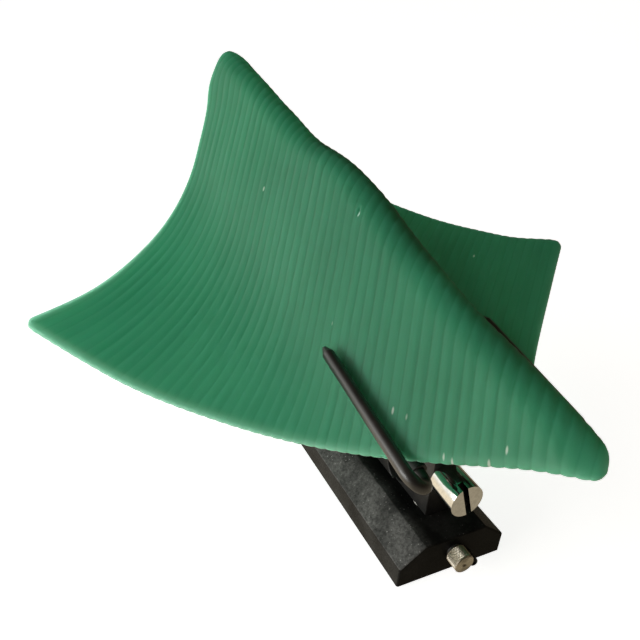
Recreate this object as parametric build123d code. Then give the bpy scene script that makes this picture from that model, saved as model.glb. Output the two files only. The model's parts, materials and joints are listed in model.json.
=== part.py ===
"""Desk lamp with a draped, reeded glass shade on a chamfered bar base.

Millimetres. +X points to the knob end of the base, +Z up, and the origin is the
centre of the base's underside. The head (clips, glass, lamp) is drawn level in a
frame of its own at the tilt axis, and then tipped by rest_tilt.
"""
import os
from math import asin, cos, radians, sin, sqrt

from build123d import *

os.makedirs("parts", exist_ok=True)

# ---- driving dimensions -------------------------------------------------------
# base bar
base_length, base_width = 260.0, 65.0
base_bottom, base_shoulder, base_top = 0.4, 12.7, 23.7    # heights of the rim, chamfer and top
base_top_width = 37.4
base_wall, base_end_wall = 3.0, 4.0
base_edge_radius = 1.2
pad_thickness = 1.5             # non-slip pad in the rim, which the lamp stands on
cover_thickness = 2.0
fit_gap = 0.15                  # plate in its recess, and other loose fits
slip_gap = 0.05                 # turned part in a bore, on the radius

# upright and its swivel
swing_x = 102.0                 # vertical axis of the swivel
post_radius, post_bore_radius, post_top = 5.0, 2.5, 60.0
washer_thickness = 0.6
upright_width, upright_foot_width = 15.8, 19.0
upright_front, upright_rear = 112.0, 58.0
window_front, window_rear, window_top, window_radius = 91.0, 75.0, 62.0, 7.0
foot_web = 0.9                  # thin web that joins the two legs at the base

# brake screw
screw_z, screw_radius, screw_front = 49.2, 9.4, 131.3
screw_slot_width, screw_slot_depth, screw_slot_lean = 2.4, 4.5, 18.0
screw_stem_radius = 3.0

# dimmer knob and gland
knob_z, knob_radius, knob_front, knob_length = 13.6, 5.6, 140.0, 8.7
nut_radius, knob_recess = 4.3, 4.6
gland_y, gland_z, gland_radius, gland_reach = 10.2, 6.5, 2.7, 6.5

# head: tilt axis, rest angle and clips
tilt_x, tilt_z, rest_tilt = 100.0, 88.3, 9.6
shaft_radius, shaft_bore_radius, shaft_half = 4.5, 2.5, 31.5
boss_radius = 12.0
rod_radius = 3.175
clip_front, clip_tip = 39.0, -37.0      # along the head, from the tilt axis
clip_y, clip_height = 48.5, 11.2        # axis of the outer leg
clip_slope = 52.0               # slope of the glass under the clips
leg_spacing = 13.8                      # outer leg over the glass, inner leg under it
sleeve_radius = 4.5
hub_wall, hub_screw_y, hub_screw_radius = 1.2, 28.5, 1.5

# glass sheet, a square draped over its diagonal
glass_side, glass_thickness, glass_corner_radius = 304.8, 4.0, 9.0
ridge_height, glass_centre = 53.3, -121.5   # mid-surface of the ridge, in the head frame
ridge_radius, flank_angle, flank_length = 14.0, 52.0, 56.0
sweep_radius, sweep_angle = 70.0, 3.0       # upper hollow curve, down to this slope
flare_radius, flare_angle = 135.0, -19.0    # outer curve, which rises at the rim

# lamp under the ridge
lamp_length, lamp_radius, lamp_height = 56.0, 4.5, 15.0
reflector_radius, reflector_length, reflector_wall = 20.0, 124.0, 1.0

# ---- worked out from them -----------------------------------------------------
cover_bottom = pad_thickness
half_length = base_length / 2
upright_bottom = base_top + washer_thickness
half_diagonal = glass_side / sqrt(2)
head_place = Location((tilt_x, 0, tilt_z), (0, rest_tilt, 0))


def save(node, shape):
    """Writes one node's solids to its own STEP file."""
    shape.label = node
    export_step(shape, f"parts/{node}.step")


def rod(start, end, radius):
    """Round bar between two points."""
    along = Vector(*end) - Vector(*start)
    plane = Plane(origin=start, z_dir=along)
    return plane * Cylinder(radius, along.length, align=(Align.CENTER, Align.CENTER, Align.MIN))


def block(low, high):
    """Box between two opposite corners."""
    size = [b - a for a, b in zip(low, high)]
    middle = [(a + b) / 2 for a, b in zip(low, high)]
    return Pos(*middle) * Box(*size)


def prism_x(points, start, end):
    """Solid of a YZ outline between two X places."""
    face = make_face(Polyline([(0, y, z) for y, z in points], close=True))
    return Pos(start, 0, 0) * extrude(face, amount=end - start, dir=(1, 0, 0))


def plate_y(face, half):
    """Solid of an XZ face, the same depth to each side of the middle plane."""
    return extrude(face, amount=half, dir=(0, 1, 0)) + extrude(face, amount=half, dir=(0, -1, 0))


# ---- base ---------------------------------------------------------------------
screw_places = [(x, y) for x in (-118.0, 80.0) for y in (-22.0, 22.0)]


def bar_outline(inset, bottom):
    """Chamfered section of the bar, moved in by a wall thickness."""
    half_width, half_top = base_width / 2 - inset, base_top_width / 2 - inset * 0.45
    top = base_top - inset
    shoulder = base_shoulder - inset * 0.4
    return [(-half_width, bottom), (-half_width, shoulder), (-half_top, top),
            (half_top, top), (half_width, shoulder), (half_width, bottom)]


def base_housing():
    """Cast bar, hollow below, with bosses for the swivel post and the cover screws."""
    outer = prism_x(bar_outline(0, base_bottom), -half_length, half_length)
    above = outer.edges().filter_by(lambda edge: edge.center().Z > base_bottom + 0.1)
    outer = fillet(above, base_edge_radius)
    inner_end = half_length - base_end_wall
    cavity = prism_x(bar_outline(base_wall, base_bottom), -inner_end, inner_end)
    body = outer - cavity
    inside = prism_x(bar_outline(base_wall - 0.5, cover_bottom + cover_thickness + fit_gap),
                     -inner_end - 0.5, inner_end + 0.5)
    for x, y in screw_places:
        body += rod((x, y, cover_bottom), (x, y, base_top), 4.5) & inside
        body -= rod((x, y, cover_bottom), (x, y, cover_bottom + 10), 1.5)
    body += rod((swing_x, 0, 10.0), (swing_x, 0, base_top - 1), 10.0) & inside
    body -= rod((swing_x, 0, 0), (swing_x, 0, base_top + 1), post_radius + slip_gap)
    body -= rod((half_length - 10, 0, knob_z), (half_length + 1, 0, knob_z), 3.5 + slip_gap)
    body -= rod((half_length - 10, gland_y, gland_z), (half_length + 1, gland_y, gland_z),
                gland_radius - 0.5 + slip_gap)
    return body


def bottom_cover():
    """Steel plate that closes the bar."""
    half_width = base_width / 2 - base_wall - fit_gap
    half = half_length - base_end_wall - fit_gap
    plate = block((-half, -half_width, cover_bottom), (half, half_width, cover_bottom + cover_thickness))
    plate = fillet(plate.edges().filter_by(Axis.Z), 1.0)
    for x, y in screw_places:
        plate -= Pos(x, y, cover_bottom) * Cone(3.2, 1.7, cover_thickness,
                                                align=(Align.CENTER, Align.CENTER, Align.MIN))
    return plate


def cover_screw(x, y):
    """Countersunk screw with a straight slot, flush with the cover."""
    head = Pos(x, y, cover_bottom + 0.1) * Cone(2.9, 1.4, cover_thickness - 0.1,
                                                align=(Align.CENTER, Align.CENTER, Align.MIN))
    stem = rod((x, y, cover_bottom + cover_thickness), (x, y, cover_bottom + 9), 1.4)
    slot = block((x - 3, y - 0.35, cover_bottom), (x + 3, y + 0.35, cover_bottom + 0.8))
    return head + stem - slot


def non_slip_pad():
    """Rubber sheet under the cover, with holes over the screws."""
    pad = block((-half_length + 6, -base_width / 2 + 5, 0), (half_length - 6, base_width / 2 - 5, pad_thickness))
    pad = fillet(pad.edges().filter_by(Axis.Z), 5.0)
    for x, y in screw_places:
        pad -= rod((x, y, -1), (x, y, pad_thickness + 1), 4.0)
    return pad


def ballast_block():
    """Iron weight in the rear and middle of the bar."""
    low = cover_bottom + cover_thickness + 0.3
    weight = prism_x([(-26, low), (-26, 11.0), (-16.5, 20.4), (16.5, 20.4), (26, 11.0), (26, low)], -124, 30)
    for x, y in screw_places:
        weight -= rod((x, y, 0), (x, y, base_top), 5.2)
    return weight


def dimmer_parts():
    """Board, potentiometer, choke, power switch and terminals in the front of the bar."""
    board_low = cover_bottom + cover_thickness + 1.5
    board = block((36, -20, board_low), (90, 20, board_low + 1.6))
    for y in (-22.0, 22.0):
        board -= rod((80, y, 0), (80, y, 20), 5.2)
    top = board_low + 1.6
    choke = Pos(50, -8, top + 4.0) * Torus(5.5, 2.6)
    choke &= block((30, -30, top), (70, 30, top + 20))
    switch = block((62, -10, top), (66, 4, top + 11)) + block((66, -9, top), (72, 3, top + 3))
    rear = half_length - base_end_wall
    pot = block((rear - 11, -7, knob_z - 7), (rear, 7, knob_z + 7))
    pot = fillet(pot.edges().filter_by(Axis.X), 1.5)
    pot += rod((rear, 0, knob_z), (half_length + 3, 0, knob_z), 3.5)
    pot -= rod((rear - 8, 0, knob_z), (half_length + 4, 0, knob_z), 2.0 + slip_gap)
    nut = rod((half_length + 0.05, 0, knob_z), (half_length + 1.9, 0, knob_z), nut_radius)
    nut -= rod((half_length - 1, 0, knob_z), (half_length + 3, 0, knob_z), 3.5 + slip_gap)
    terminals = block((40, 6, top), (56, 17, top + 8))
    for x in (44.0, 52.0):
        terminals -= rod((x, 11.5, top + 4), (x, 11.5, top + 9), 1.6)
        terminals -= rod((x, 0, top + 3), (x, 20, top + 3), 1.2)
    screws = [rod((x, 11.5, top + 4.1), (x, 11.5, top + 7), 1.5) for x in (44.0, 52.0)]
    save("dimmer_board", board)
    save("filter_choke", choke)
    save("triac", switch)
    save("dimmer_body", pot)
    save("dimmer_nut", nut)
    save("terminal_block", terminals)
    save("terminal_screws", Compound(children=screws))


def cord_gland():
    """Short rubber collar where the supply lead enters, empty."""
    wall_in, wall_out = half_length - base_end_wall, half_length
    gland = rod((wall_in, gland_y, gland_z), (wall_out, gland_y, gland_z), gland_radius - 0.5)
    gland += rod((wall_out, gland_y, gland_z), (wall_out + gland_reach, gland_y, gland_z), gland_radius)
    gland = fillet(gland.edges().group_by(Axis.X)[-1], 1.0)
    gland += rod((wall_in - 1.2, gland_y, gland_z), (wall_in, gland_y, gland_z), gland_radius)
    return gland - rod((wall_in - 2, gland_y, gland_z), (wall_out + 9, gland_y, gland_z), 1.4)


def dimmer_shaft():
    """Steel spindle of the dimmer."""
    rear = half_length - base_end_wall
    return rod((rear - 7, 0, knob_z), (knob_front - 3, 0, knob_z), 2.0)


def dimmer_knob():
    """Turned knob with a dished face, hollow behind to clear the nut."""
    back = knob_front - knob_length
    knob = rod((back, 0, knob_z), (knob_front, 0, knob_z), knob_radius)
    knob = chamfer(knob.edges().filter_by(GeomType.CIRCLE), 0.5)
    knob -= rod((back - 1, 0, knob_z), (back + 2.4, 0, knob_z), knob_recess)
    knob -= rod((back, 0, knob_z), (knob_front - 3, 0, knob_z), 2.0)
    knob -= Pos(knob_front, 0, knob_z) * Rot(0, -90, 0) * Cone(1.8, 0.4, 0.8,
            align=(Align.CENTER, Align.CENTER, Align.MIN))
    knob -= rod((back + 5, 0, knob_z), (back + 5, 0, knob_z + 10), 1.3)
    return knob


def knob_grub_screw():
    """Set screw that holds the knob on its spindle."""
    x = knob_front - knob_length + 5
    return rod((x, 0, knob_z + 2.05), (x, 0, knob_z + knob_radius - 0.6), 1.25)


# ---- swivel and upright -------------------------------------------------------
def swivel_post():
    """Hollow post, which the leads run through, with a foot inside the bar."""
    post = rod((swing_x, 0, 6.0), (swing_x, 0, post_top), post_radius)
    post -= rod((swing_x, 0, 5), (swing_x, 0, post_top + 1), post_bore_radius)
    return post


def post_nut():
    """Hexagon nut under the boss."""
    hexagon = extrude(RegularPolygon(8.5, 6), amount=3.4)
    return Pos(swing_x, 0, 6.4) * hexagon - rod((swing_x, 0, 5), (swing_x, 0, 12), post_radius + slip_gap)


def swivel_washer():
    """Slippery washer that the upright turns on."""
    ring = rod((swing_x, 0, base_top), (swing_x, 0, upright_bottom), 7.5)
    return ring - rod((swing_x, 0, base_top - 1), (swing_x, 0, upright_bottom + 1), post_radius + slip_gap)


def upright():
    """Two-legged cast fin: bored front leg, window, wider rear leg, boss on top."""
    bottom, front, rear = upright_bottom + 0.05, upright_front, upright_rear
    lean = asin(boss_radius / sqrt((tilt_x - rear) ** 2 + (tilt_z - 46) ** 2))
    outline = Polyline([(rear, 0, bottom), (front, 0, bottom), (front, 0, tilt_z), (tilt_x, 0, tilt_z + 2),
                        (tilt_x - boss_radius * cos(lean), 0, tilt_z + boss_radius * sin(lean)),
                        (rear, 0, 46)], close=True)
    side = plate_y(make_face(outline), upright_width / 2)
    side += rod((tilt_x, -upright_width / 2, tilt_z), (tilt_x, upright_width / 2, tilt_z), boss_radius)
    foot = plate_y(make_face(Polyline([(rear, 0, bottom), (window_rear + 6, 0, bottom), (window_rear + 6, 0, 50),
                                       (rear + 6, 0, 50), (rear, 0, 42)], close=True)), upright_foot_width / 2)
    body = side + foot
    height = window_top - bottom - foot_web
    window = Plane.XZ * RectangleRounded(window_front - window_rear, height, window_radius)
    window = Pos((window_front + window_rear) / 2, 0, bottom + foot_web + height / 2) * window
    body -= plate_y(window, 20)
    body -= rod((swing_x, 0, bottom - 1), (swing_x, 0, post_top + 0.5), post_radius + slip_gap)
    body -= rod((swing_x, 0, post_top), (swing_x, 0, tilt_z - boss_radius + 4), post_bore_radius)
    body -= rod((tilt_x, -20, tilt_z), (tilt_x, 20, tilt_z), shaft_radius + 1.0)
    body -= rod((swing_x + 2, 0, screw_z), (front + 1, 0, screw_z), screw_stem_radius + slip_gap)
    return body


def tilt_bush(side):
    """Flanged bush pressed into the boss from one side."""
    inner, outer = side * 1.0, side * (upright_width / 2)
    bush = rod((tilt_x, inner, tilt_z), (tilt_x, outer, tilt_z), shaft_radius + 1.0)
    bush += rod((tilt_x, outer, tilt_z), (tilt_x, outer + side * 0.8, tilt_z), 8.0)
    return bush - rod((tilt_x, -20, tilt_z), (tilt_x, 20, tilt_z), shaft_radius + slip_gap)


def brake_plug():
    """Nylon plug that the brake screw pushes against the post."""
    back = swing_x + post_radius + slip_gap
    return rod((back + 0.15, 0, screw_z), (back + 1.8, 0, screw_z), screw_stem_radius)


def brake_screw():
    """Plated round head with a coin slot, and its stem."""
    back = swing_x + post_radius + 2.0
    head = rod((upright_front + 0.4, 0, screw_z), (screw_front, 0, screw_z), screw_radius)
    head = chamfer(head.edges().filter_by(GeomType.CIRCLE), 0.3)
    slot = block((-screw_slot_depth, -screw_slot_width / 2, -screw_radius - 1),
                 (1, screw_slot_width / 2, screw_radius + 1))
    head -= Pos(screw_front, 0, screw_z) * Rot(screw_slot_lean, 0, 0) * slot
    return head + rod((back, 0, screw_z), (upright_front + 1, 0, screw_z), screw_stem_radius)


# ---- head ---------------------------------------------------------------------
def head_shape(shape):
    """Moves a shape from the level head frame to its place at rest."""
    return head_place * shape


def glass_run(offset):
    """Half section of the draped sheet as (kind, start, middle, end) pieces.

    It starts on the ridge and walks outwards; offset is the distance above the
    middle surface. A hollow curve bends the other way from the ridge.
    """
    steps = [("arc", ridge_radius + offset, 0.0, flank_angle),
             ("line", flank_length, flank_angle, flank_angle),
             ("arc", sweep_radius - offset, flank_angle, sweep_angle),
             ("arc", flare_radius - offset, sweep_angle, flare_angle)]
    used = sum(radius * radians(abs(b - a)) for kind, radius, a, b in
               [("arc", ridge_radius, 0, flank_angle), ("arc", sweep_radius, flank_angle, sweep_angle),
                ("arc", flare_radius, sweep_angle, flare_angle)]) + flank_length
    steps.append(("line", half_diagonal - used, flare_angle, flare_angle))
    y, z = 0.0, ridge_height + offset
    pieces = []
    for kind, size, first, last in steps:
        def at(angle, size=size, first=first, last=last, y=y, z=z):
            """Point on the arc where the slope has reached an angle."""
            turn = 1 if last > first else -1
            return (y + turn * size * (sin(radians(angle)) - sin(radians(first))),
                    z + turn * size * (cos(radians(angle)) - cos(radians(first))))
        if kind == "arc":
            middle, end = at((first + last) / 2), at(last)
        else:
            end = (y + size * cos(radians(first)), z - size * sin(radians(first)))
            middle = None
        pieces.append((kind, (y, z), middle, end, first, last, size))
        y, z = end
    return pieces


def glass_section(offset, side):
    """Edges of one half section on one side."""
    edges = []
    for kind, start, middle, end, *_ in glass_run(offset):
        points = [(0, side * p[0], p[1]) for p in (start, middle, end) if p]
        edges.append(ThreePointArc(*points) if kind == "arc" else Line(*points))
    return edges


def glass_point(distance):
    """Place (y, z) on the middle surface at a distance from the ridge, along the sheet."""
    left = distance
    run = glass_run(0.0)
    for piece in run:
        kind, start, _, end, first, last, size = piece
        length = size * radians(abs(last - first)) if kind == "arc" else size
        if left <= length or piece is run[-1]:
            break
        left -= length
    share = left / length
    if kind == "line":
        return tuple(a + (b - a) * share for a, b in zip(start, end))
    turn = 1 if last > first else -1
    angle = first + (last - first) * share
    return (start[0] + turn * size * (sin(radians(angle)) - sin(radians(first))),
            start[1] + turn * size * (cos(radians(angle)) - cos(radians(first))))


def glass_shade():
    """Square sheet draped over its diagonal: an even section, cut to the square's edges."""
    upper, lower = glass_thickness / 2, -glass_thickness / 2
    edges = []
    for offset in (upper, lower):
        edges += glass_section(offset, 1) + glass_section(offset, -1)
    for side in (1, -1):
        tips = [(0, side * glass_run(o)[-1][3][0], glass_run(o)[-1][3][1]) for o in (upper, lower)]
        edges.append(Line(*tips))
    section = make_face(Wire(edges))
    start = glass_centre - half_diagonal - 5
    sheet = Pos(start, 0, 0) * extrude(section, amount=2 * half_diagonal + 10, dir=(1, 0, 0))
    count = 9
    places = [half_diagonal * i / (count - 1) for i in range(count)]
    outline = []
    for end in (1, -1):
        for side in (1, -1):
            outline.append(Spline([(glass_centre + end * (half_diagonal - s), side * glass_point(s)[0], -60)
                                   for s in places]))
    plan = make_face(Wire(outline))
    plan = fillet(plan.vertices(), glass_corner_radius)
    return head_shape(sheet & extrude(plan, amount=140, dir=(0, 0, 1)))


def clip_points(side):
    """Ends of a clip's outer and inner legs, in the head frame."""
    slope = radians(clip_slope)
    inward = Vector(0, -side * sin(slope), -cos(slope)) * leg_spacing
    bend = Vector(clip_front, side * clip_y, clip_height)
    tip = Vector(clip_tip, side * clip_y, clip_height)
    return tip, bend, bend + inward, tip + inward


def clip(side):
    """Hairpin of round bar: one leg over the glass, one under it."""
    tip, bend, inner_bend, inner_end = clip_points(side)
    along = (bend - tip).normalized()
    swell = leg_spacing / 2
    path = FilletPolyline(tip, bend + along * swell, inner_bend + along * swell, inner_end,
                          radius=swell - 0.05)
    section = Plane(origin=tip, z_dir=along) * Circle(rod_radius)
    bar = sweep(section, path=path)
    nose = Plane(origin=tip, z_dir=-along) * Cone(rod_radius, 1.1, 5.0,
           align=(Align.CENTER, Align.CENTER, Align.MIN))
    return bar, nose


def leg_point(side, along_head):
    """Centre of the inner leg where it passes a place along the head."""
    _, _, near, far = clip_points(side)
    share = (near.X - along_head) / (near.X - far.X)
    return near + (far - near) * share


def sleeve(side, start, end):
    """Silicone sleeve on the inner leg, which the glass rests on."""
    a, b = leg_point(side, start), leg_point(side, end)
    return rod(tuple(a), tuple(b), sleeve_radius) - rod(tuple(a), tuple(b), rod_radius + slip_gap)


def clip_hub(side):
    """Block that clamps a clip's inner leg to the end of the tilt shaft."""
    centre = leg_point(side, 0)
    low_y, high_y = sorted((side * 25.0, centre.Y))
    hub = block((-7, low_y, -6.5), (7, high_y, 6.5))
    hub = fillet(hub.edges().filter_by(Axis.X), 1.5)
    a, b = leg_point(side, -7), leg_point(side, 7)
    hub += rod(tuple(a), tuple(b), rod_radius + hub_wall)
    a, b = leg_point(side, -12), leg_point(side, 12)
    hub -= rod(tuple(a), tuple(b), rod_radius + slip_gap)
    hub -= rod((0, side * hub_screw_y, -9), (0, side * hub_screw_y, 0), hub_screw_radius + slip_gap)
    return hub - rod((0, side * 20, 0), (0, side * shaft_half, 0), shaft_radius)


def hub_screw(side):
    """Set screw that locks a hub on the shaft."""
    return rod((0, side * hub_screw_y, -8.0), (0, side * hub_screw_y, -shaft_radius - slip_gap), hub_screw_radius)


def tilt_shaft():
    """Hollow shaft across the top of the upright."""
    shaft = rod((0, -shaft_half, 0), (0, shaft_half, 0), shaft_radius)
    return shaft - rod((0, -shaft_half - 1, 0), (0, shaft_half + 1, 0), shaft_bore_radius)


def collar(side):
    """Set collar that keeps the yoke and shaft central."""
    ring = rod((0, side * 13.6, 0), (0, side * 19.6, 0), 8.0)
    return ring - rod((0, side * 10, 0), (0, side * 22, 0), shaft_radius)


reflector_front = glass_centre + reflector_length / 2


def lamp_yoke():
    """Folded strap: two ears on the shaft, joined behind the upright."""
    web_x = reflector_front + 1.6
    yoke = None
    for side in (1, -1):
        outline = Polyline([(7, 0, -7), (7, 0, 7), (web_x, 0, 27), (web_x, 0, 13), (-12, 0, -7)], close=True)
        ear = extrude(make_face(outline), amount=1.6, dir=(0, 1, 0))
        ear = Pos(0, 11.4 if side > 0 else -13.0, 0) * ear
        yoke = ear if yoke is None else yoke + ear
    yoke += block((web_x - 1.5, -13.0, 13), (web_x, 13.0, 27))
    yoke -= rod((0, -20, 0), (0, 20, 0), shaft_radius + slip_gap)
    for y in (-8.0, 8.0):
        yoke -= rod((web_x - 3, y, 20), (web_x + 1, y, 20), 1.6)
    return yoke


def yoke_screw(y):
    """Screw and nut that hold the reflector to the yoke."""
    x = reflector_front
    return rod((x - 3.2, y, 20), (x + 1.65, y, 20), 1.5) + rod((x + 1.65, y, 20), (x + 3.4, y, 20), 3.0)


def reflector():
    """Round-backed trough with closed ends."""
    back, front = reflector_front - reflector_length, reflector_front
    half = rod((back, 0, lamp_height), (front, 0, lamp_height), reflector_radius)
    hollow = rod((back + reflector_wall, 0, lamp_height), (front - reflector_wall, 0, lamp_height),
                 reflector_radius - reflector_wall)
    skirt = block((back, -reflector_radius, lamp_height - 8), (front, reflector_radius, lamp_height))
    inner_skirt = block((back + reflector_wall, -reflector_radius + reflector_wall, lamp_height - 9),
                        (front - reflector_wall, reflector_radius - reflector_wall, lamp_height))
    above = block((back - 1, -40, lamp_height), (front + 1, 40, 60))
    shell = ((half & above) + skirt) - ((hollow & above) + inner_skirt)
    for y in (-8.0, 8.0):
        shell -= rod((front - 3, y, 20), (front + 2, y, 20), 1.6)
    return shell


def lamp_parts():
    """Double-ended halogen tube and its sprung holders."""
    half = lamp_length / 2
    x = glass_centre
    tube = rod((x - half, 0, lamp_height), (x + half, 0, lamp_height), lamp_radius)
    tube = fillet(tube.edges().filter_by(GeomType.CIRCLE), 2.0)
    tube -= rod((x - half + 2, 0, lamp_height), (x + half - 2, 0, lamp_height), lamp_radius - 1.0)
    filament = rod((x - half + 2, 0, lamp_height), (x + half - 2, 0, lamp_height), 0.7)
    caps, contacts, holders = [], [], []
    for end in (-1, 1):
        caps.append(rod((x + end * (half - 0.0), 0, lamp_height), (x + end * (half + 10), 0, lamp_height), 3.6))
        contacts.append(rod((x + end * (half + 10), 0, lamp_height), (x + end * (half + 14), 0, lamp_height), 2.2))
        holder = block(*zip(*[sorted(pair) for pair in ((x + end * (half + 7), x + end * (half + 24)),
                                                        (-7.0, 7.0), (lamp_height - 7, lamp_height + 9))]))
        holder -= rod((x + end * (half + 5), 0, lamp_height), (x + end * (half + 14), 0, lamp_height), 4.2)
        holders.append(holder)
    save("halogen_tube", head_shape(tube))
    save("lamp_filament", head_shape(filament))
    save("lamp_caps", Compound(children=[head_shape(cap) for cap in caps]))
    save("lamp_contacts", Compound(children=[head_shape(contact) for contact in contacts]))
    save("lamp_holders", Compound(children=[head_shape(holder) for holder in holders]))


# ---- writes every node ---------------------------------------------------------
save("base_housing", base_housing())
save("bottom_cover", bottom_cover())
save("cover_screws", Compound(children=[cover_screw(x, y) for x, y in screw_places]))
save("non_slip_pad", non_slip_pad())
save("ballast_block", ballast_block())
dimmer_parts()
save("cord_gland", cord_gland())
save("dimmer_shaft", dimmer_shaft())
save("dimmer_knob", dimmer_knob())
save("knob_grub_screw", knob_grub_screw())
save("swivel_post", swivel_post())
save("post_nut", post_nut())
save("swivel_washer", swivel_washer())
save("upright", upright())
save("tilt_bushes", Compound(children=[tilt_bush(1), tilt_bush(-1)]))
save("brake_plug", brake_plug())
save("brake_screw", brake_screw())
save("glass_shade", glass_shade())
for side, word in ((-1, "near"), (1, "far")):
    bar, nose = clip(side)
    save(f"{word}_clip", head_shape(bar + nose))
    save(f"{word}_clip_hub", head_shape(clip_hub(side)))
    sleeves = [sleeve(side, -34, -12), sleeve(side, 12, 36)]
    save(f"{word}_clip_sleeves", Compound(children=[head_shape(part) for part in sleeves]))
save("hub_screws", Compound(children=[head_shape(hub_screw(side)) for side in (1, -1)]))
save("tilt_shaft", head_shape(tilt_shaft()))
save("shaft_collars", Compound(children=[head_shape(collar(side)) for side in (1, -1)]))
save("lamp_yoke", head_shape(lamp_yoke()))
save("yoke_screws", Compound(children=[head_shape(yoke_screw(y)) for y in (-8.0, 8.0)]))
save("reflector", head_shape(reflector()))
lamp_parts()
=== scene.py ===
"""Visual model of the draped-glass desk lamp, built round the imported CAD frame.

Metres, in the frame of the CAD. The named sizes are in millimetres, and MM turns them into metres.
"""
import json
import math

import bmesh
import bpy
import numpy as np
from mathutils import Matrix, Vector


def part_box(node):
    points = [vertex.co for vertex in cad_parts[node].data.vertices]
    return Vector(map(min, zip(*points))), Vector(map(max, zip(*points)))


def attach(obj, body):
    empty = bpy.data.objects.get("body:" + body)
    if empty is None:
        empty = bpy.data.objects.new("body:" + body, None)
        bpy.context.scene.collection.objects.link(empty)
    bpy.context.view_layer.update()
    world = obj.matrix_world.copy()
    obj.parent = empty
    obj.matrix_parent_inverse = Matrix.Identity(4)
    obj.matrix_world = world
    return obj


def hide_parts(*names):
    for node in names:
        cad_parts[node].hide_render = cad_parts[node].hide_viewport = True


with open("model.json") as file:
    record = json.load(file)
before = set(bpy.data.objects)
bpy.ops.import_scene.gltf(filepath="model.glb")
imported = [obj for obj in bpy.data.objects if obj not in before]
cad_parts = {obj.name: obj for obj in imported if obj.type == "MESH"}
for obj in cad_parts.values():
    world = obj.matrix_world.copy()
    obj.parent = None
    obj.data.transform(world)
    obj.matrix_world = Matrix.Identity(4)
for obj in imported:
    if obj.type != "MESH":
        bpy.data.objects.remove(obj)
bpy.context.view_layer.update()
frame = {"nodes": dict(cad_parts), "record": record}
nodes = frame["nodes"]
MM = 0.001

# ---- dimensions shared with the CAD -------------------------------------------------
TILT_X, TILT_Z = 100.0, 88.3
REST_TILT = math.radians(9.6)
GLASS_CENTRE, RIDGE_HEIGHT = -121.5, 53.3
HALF_SIDE = 152.4
HALF_DIAGONAL = HALF_SIDE * math.sqrt(2)

# Brake screw: head along X, and a coin slot in its end that leans to one side.
SCREW_Z, SCREW_MIDDLE, SCREW_LENGTH, SCREW_RADIUS = 49.2, 121.85, 18.9, 9.4
SLOT_WIDTH, SLOT_DEEP, SLOT_LONG, SLOT_MIDDLE = 3.0, 10, 30, 131.8
SLOT_LEAN = math.radians(18)


# ---- node helper --------------------------------------------------------------------
class Tree:
    """Short way to write a node tree."""

    def __init__(self, owner):
        owner.use_nodes = True
        self.tree = owner.node_tree
        self.tree.nodes.clear()

    def put(self, socket, value):
        """Links another node's output to a socket, or sets a value on it."""
        if isinstance(value, bpy.types.NodeSocket):
            self.tree.links.new(value, socket)
        else:
            socket.default_value = value

    def add(self, kind, inputs=None, **settings):
        """Adds a node; inputs maps a socket to a value or to another node's output."""
        node = self.tree.nodes.new("ShaderNode" + kind)
        for name, value in settings.items():
            setattr(node, name, value)
        for name, value in (inputs or {}).items():
            self.put(node.inputs[name], value)
        return node

    def mix(self, share, first, second):
        """Colour mix of two RGB values or outputs."""
        node = self.add("Mix", data_type="RGBA")
        self.put(node.inputs[0], share)
        for index, value in ((6, first), (7, second)):
            self.put(node.inputs[index], (*value, 1.0) if isinstance(value, tuple) else value)
        return node.outputs[2]

    def ramp(self, value, low, high, start=0.0, end=1.0, smooth=True):
        """Maps a number from low..high to start..end, and clamps it."""
        node = self.add("MapRange", {"Value": value, "From Min": low, "From Max": high,
                                     "To Min": start, "To Max": end})
        node.interpolation_type = "SMOOTHSTEP" if smooth else "LINEAR"
        return node.outputs[0]

    def math(self, operation, first, second=0.0):
        """Arithmetic on two numbers."""
        return self.add("Math", {0: first, 1: second}, operation=operation).outputs[0]

    def times(self, *values):
        """Product of numbers."""
        product = values[0]
        for value in values[1:]:
            product = self.math("MULTIPLY", product, value)
        return product

    def dot(self, vector, direction):
        """Dot product with a fixed direction."""
        return self.add("VectorMath", {0: vector, 1: direction}, operation="DOT_PRODUCT").outputs["Value"]

    def part(self, vector, axis):
        """One coordinate of a vector."""
        return self.add("SeparateXYZ", {"Vector": vector}).outputs[axis]

    def attribute(self, name, output="Fac"):
        """Value that the mesh carries at its points."""
        return self.add("Attribute", attribute_name=name).outputs[output]

    def stretched(self, vector, scale):
        """Vector with each axis scaled."""
        return self.add("Mapping", {"Vector": vector, "Scale": scale}).outputs[0]

    def place(self, scale=(1, 1, 1)):
        """Texture coordinate in metres, with each axis scaled."""
        return self.stretched(self.add("TexCoord").outputs["Object"], scale)

    def noise(self, where, scale, detail=3.0, rough=0.55):
        """Noise value."""
        return self.add("TexNoise", {"Vector": where, "Scale": scale, "Detail": detail,
                                     "Roughness": rough}).outputs[0]

    def cells(self, where, scale):
        """Distance to the nearest of many scattered points, and a random number for each point."""
        node = self.add("TexVoronoi", {"Vector": where, "Scale": scale}, feature="F1")
        lot = self.add("SeparateColor", {"Color": node.outputs["Color"]}).outputs[0]
        return node.outputs[0], lot

    def relief(self, strength, depth, height):
        """Fine relief, with its depth in millimetres."""
        return self.add("Bump", {"Strength": strength, "Distance": depth * MM,
                                 "Height": height}).outputs[0]

    def principled(self, tone, rough, relief, **sockets):
        """Ends a material; a socket's name is written with underscores for its spaces."""
        bsdf = self.add("BsdfPrincipled", {"Base Color": tone, "Roughness": rough, "Normal": relief})
        for socket, value in sockets.items():
            bsdf.inputs[socket.replace("_", " ")].default_value = value
        self.finish(bsdf, "OutputMaterial")

    def finish(self, shader, output):
        """Connects the last shader to the output."""
        self.tree.links.new(shader.outputs[0], self.add(output).inputs[0])


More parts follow.
